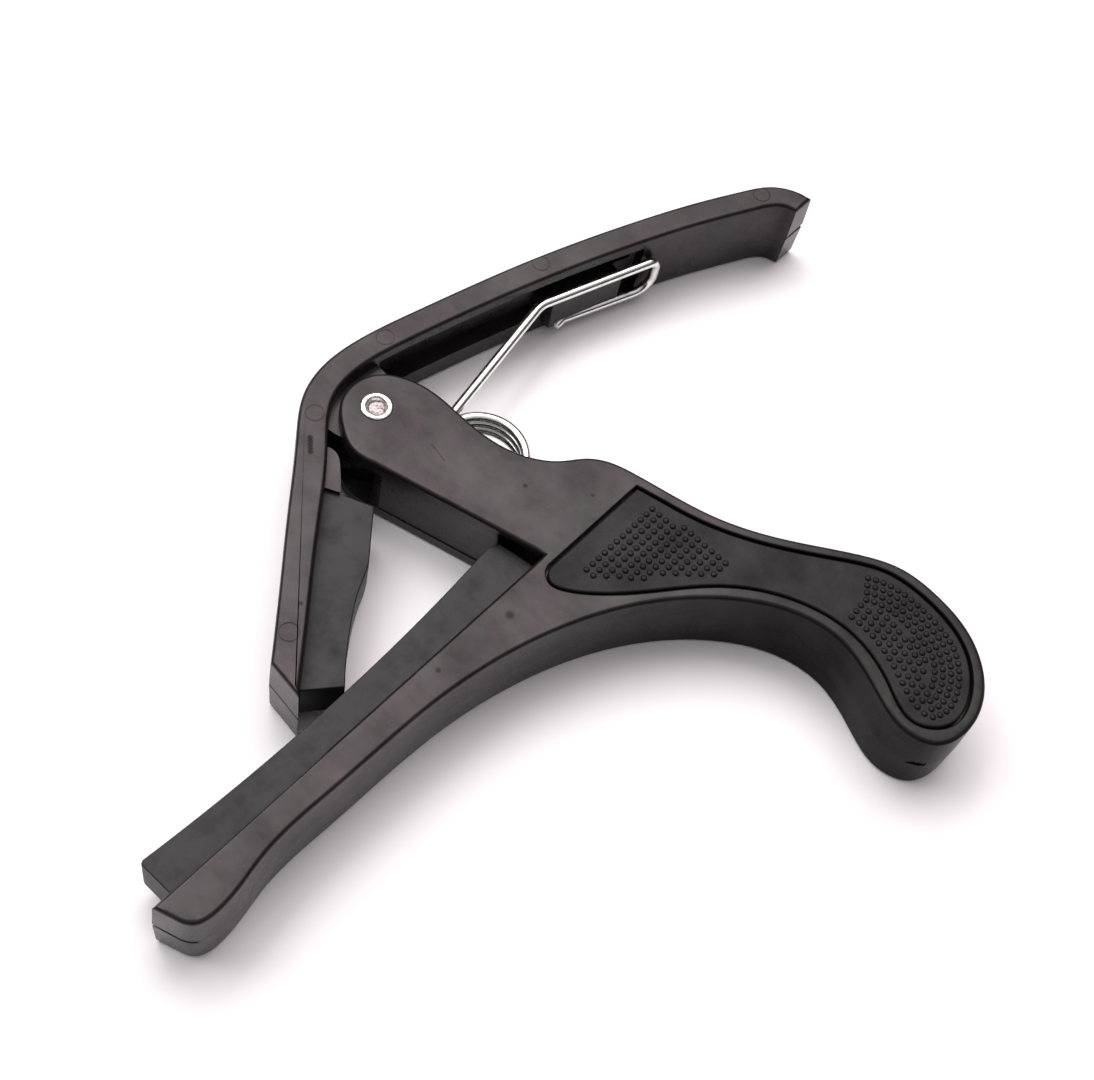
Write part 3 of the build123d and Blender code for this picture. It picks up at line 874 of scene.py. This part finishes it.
def make_spring():
    """Hidden leg, coil, near strand, U-shaped end, far strand and its hooked tip, as one wire."""
    coil = Vector((*COIL_CENTRE, 0))
    pitch, near, far = 1.6, 9.3, 2.4
    top_angle = 100.71
    turns = 3 + (FOOT_ANGLE + 360 - top_angle) / 360
    low = near - turns * pitch
    helix = []
    count = int(turns * 48)
    for k in range(count + 1):
        angle = math.radians(FOOT_ANGLE - 360 * turns * k / count)
        x, y = COIL_R * math.cos(angle), COIL_R * math.sin(angle)
        helix.append(coil + Vector((x, y, low + turns * pitch * k / count)))
    way = Vector((math.cos(math.radians(LEG_ANGLE)), math.sin(math.radians(LEG_ANGLE)), 0))
    leg = spaced([helix[0] + way * 24.9, helix[0] + way * 0.4], 1.5)
    corners = [(33.0, -2.0, near), (52.8, -8.3, near), (52.8, -8.3, far), (38.0, -3.2, far)]
    upper = bent([helix[-1]] + corners + [(36.1, -3.4, far)], [5.0, 1.7, 3.2, 1.2])
    route = leg + helix + spaced(upper, 1.0)[1:]
    spring = tube("spring_wire", route, WIRE_R)
    shade_smooth(spring, 50)
    return spring


spring = make_spring()
spring.data.materials.append(spring_steel)
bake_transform(spring)
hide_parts("torsion_spring")

# ---------------------------------------------------------------- rivet


def make_rivet():
    """Factory head below; above, a rolled rim round a rough, sunken bore."""
    head = [(0, 0.02), (2.2, 0.02), (2.6, 0.12), (2.82, 0.35), (2.88, 0.7), (2.84, 0.84)]
    shank = [(1.6, 0.85), (1.6, THICK - 0.1), (1.9, THICK), (2.34, THICK)]
    angles = [math.pi * k / 8 for k in range(9)]
    roll = [(1.88 + 0.46 * math.cos(t), THICK + 0.02 + 0.28 * math.sin(t)) for t in angles]
    bore = [
        (1.34, THICK - 0.08), (1.25, THICK - 0.35), (1.05, THICK - 0.5), (0.55, THICK - 0.42),
        (0, THICK - 0.5)]
    rivet = lathe("rivet_rolled", head + shank + roll + bore, 72)
    bm = bmesh.new()
    bm.from_mesh(rivet.data)
    for v in bm.verts:
        r = math.hypot(v.co.x, v.co.y) / MM
        if v.co.z > (THICK - 1) * MM and r < 1.3:
            v.co.z += random.uniform(-0.03, 0.04) * MM
        elif v.co.z > (THICK + 0.05) * MM:
            angle = math.atan2(v.co.y, v.co.x)
            v.co.z -= (0.02 + 0.02 * math.sin(3 * angle + 1) + 0.012 * math.sin(7 * angle)) * MM
    bm.to_mesh(rivet.data)
    bm.free()
    return finish_mesh(rivet, 45)


dress(make_rivet(), rivet_steel, "body", "pivot_rivet")

# ---------------------------------------------------------------- floor and light

bm = bmesh.new()
bmesh.ops.create_grid(bm, x_segments=1, y_segments=1, size=3.0)
floor = new_object("floor", bm)
pale = Shader("pale_floor")
floor.data.materials.append(
    pale.set(Base_Color=(0.95, 0.92, 0.935, 1), Roughness=0.6, Specular_IOR_Level=0.2))

# The studio: dark round the horizon, soft white overhead
SKY = [(0.45, (0.04, 0.04, 0.042, 1)), (0.9, (1.0, 0.97, 0.98, 1))]
SKY_STRENGTH = 0.75
world = bpy.data.worlds.new("studio")
world.use_nodes = True
tree = world.node_tree
direction = tree.nodes.new("ShaderNodeTexCoord")
height = tree.nodes.new("ShaderNodeSeparateXYZ")
ramp = tree.nodes.new("ShaderNodeValToRGB")
for element, (position, colour) in zip(ramp.color_ramp.elements, SKY):
    element.position = position
    element.color = colour
tree.links.new(direction.outputs["Generated"], height.inputs[0])
tree.links.new(height.outputs["Z"], ramp.inputs[0])
tree.links.new(ramp.outputs[0], tree.nodes["Background"].inputs["Color"])
tree.nodes["Background"].inputs["Strength"].default_value = SKY_STRENGTH
scene.world = world


def softbox(name, place, target, width, height, power, colour=(1, 1, 1)):
    """Large soft area light aimed at a point."""
    light = bpy.data.lights.new(name, "AREA")
    light.shape = "RECTANGLE"
    light.size, light.size_y = width, height
    light.energy = power
    light.color = colour
    box = bpy.data.objects.new(name, light)
    box.location = place
    box.rotation_euler = (Vector(target) - Vector(place)).to_track_quat("-Z", "Y").to_euler()
    scene.collection.objects.link(box)


CENTRE = (0, -0.04, 0)          # metres, as are the places and sizes of the lights; powers are in watts
softbox("key", (-0.09, 0.48, 0.72), CENTRE, 0.75, 0.55, 5.4)
softbox("overhead", (0.50, 0.24, 1.0), CENTRE, 0.9, 0.9, 9.0, (1.0, 0.94, 0.95))
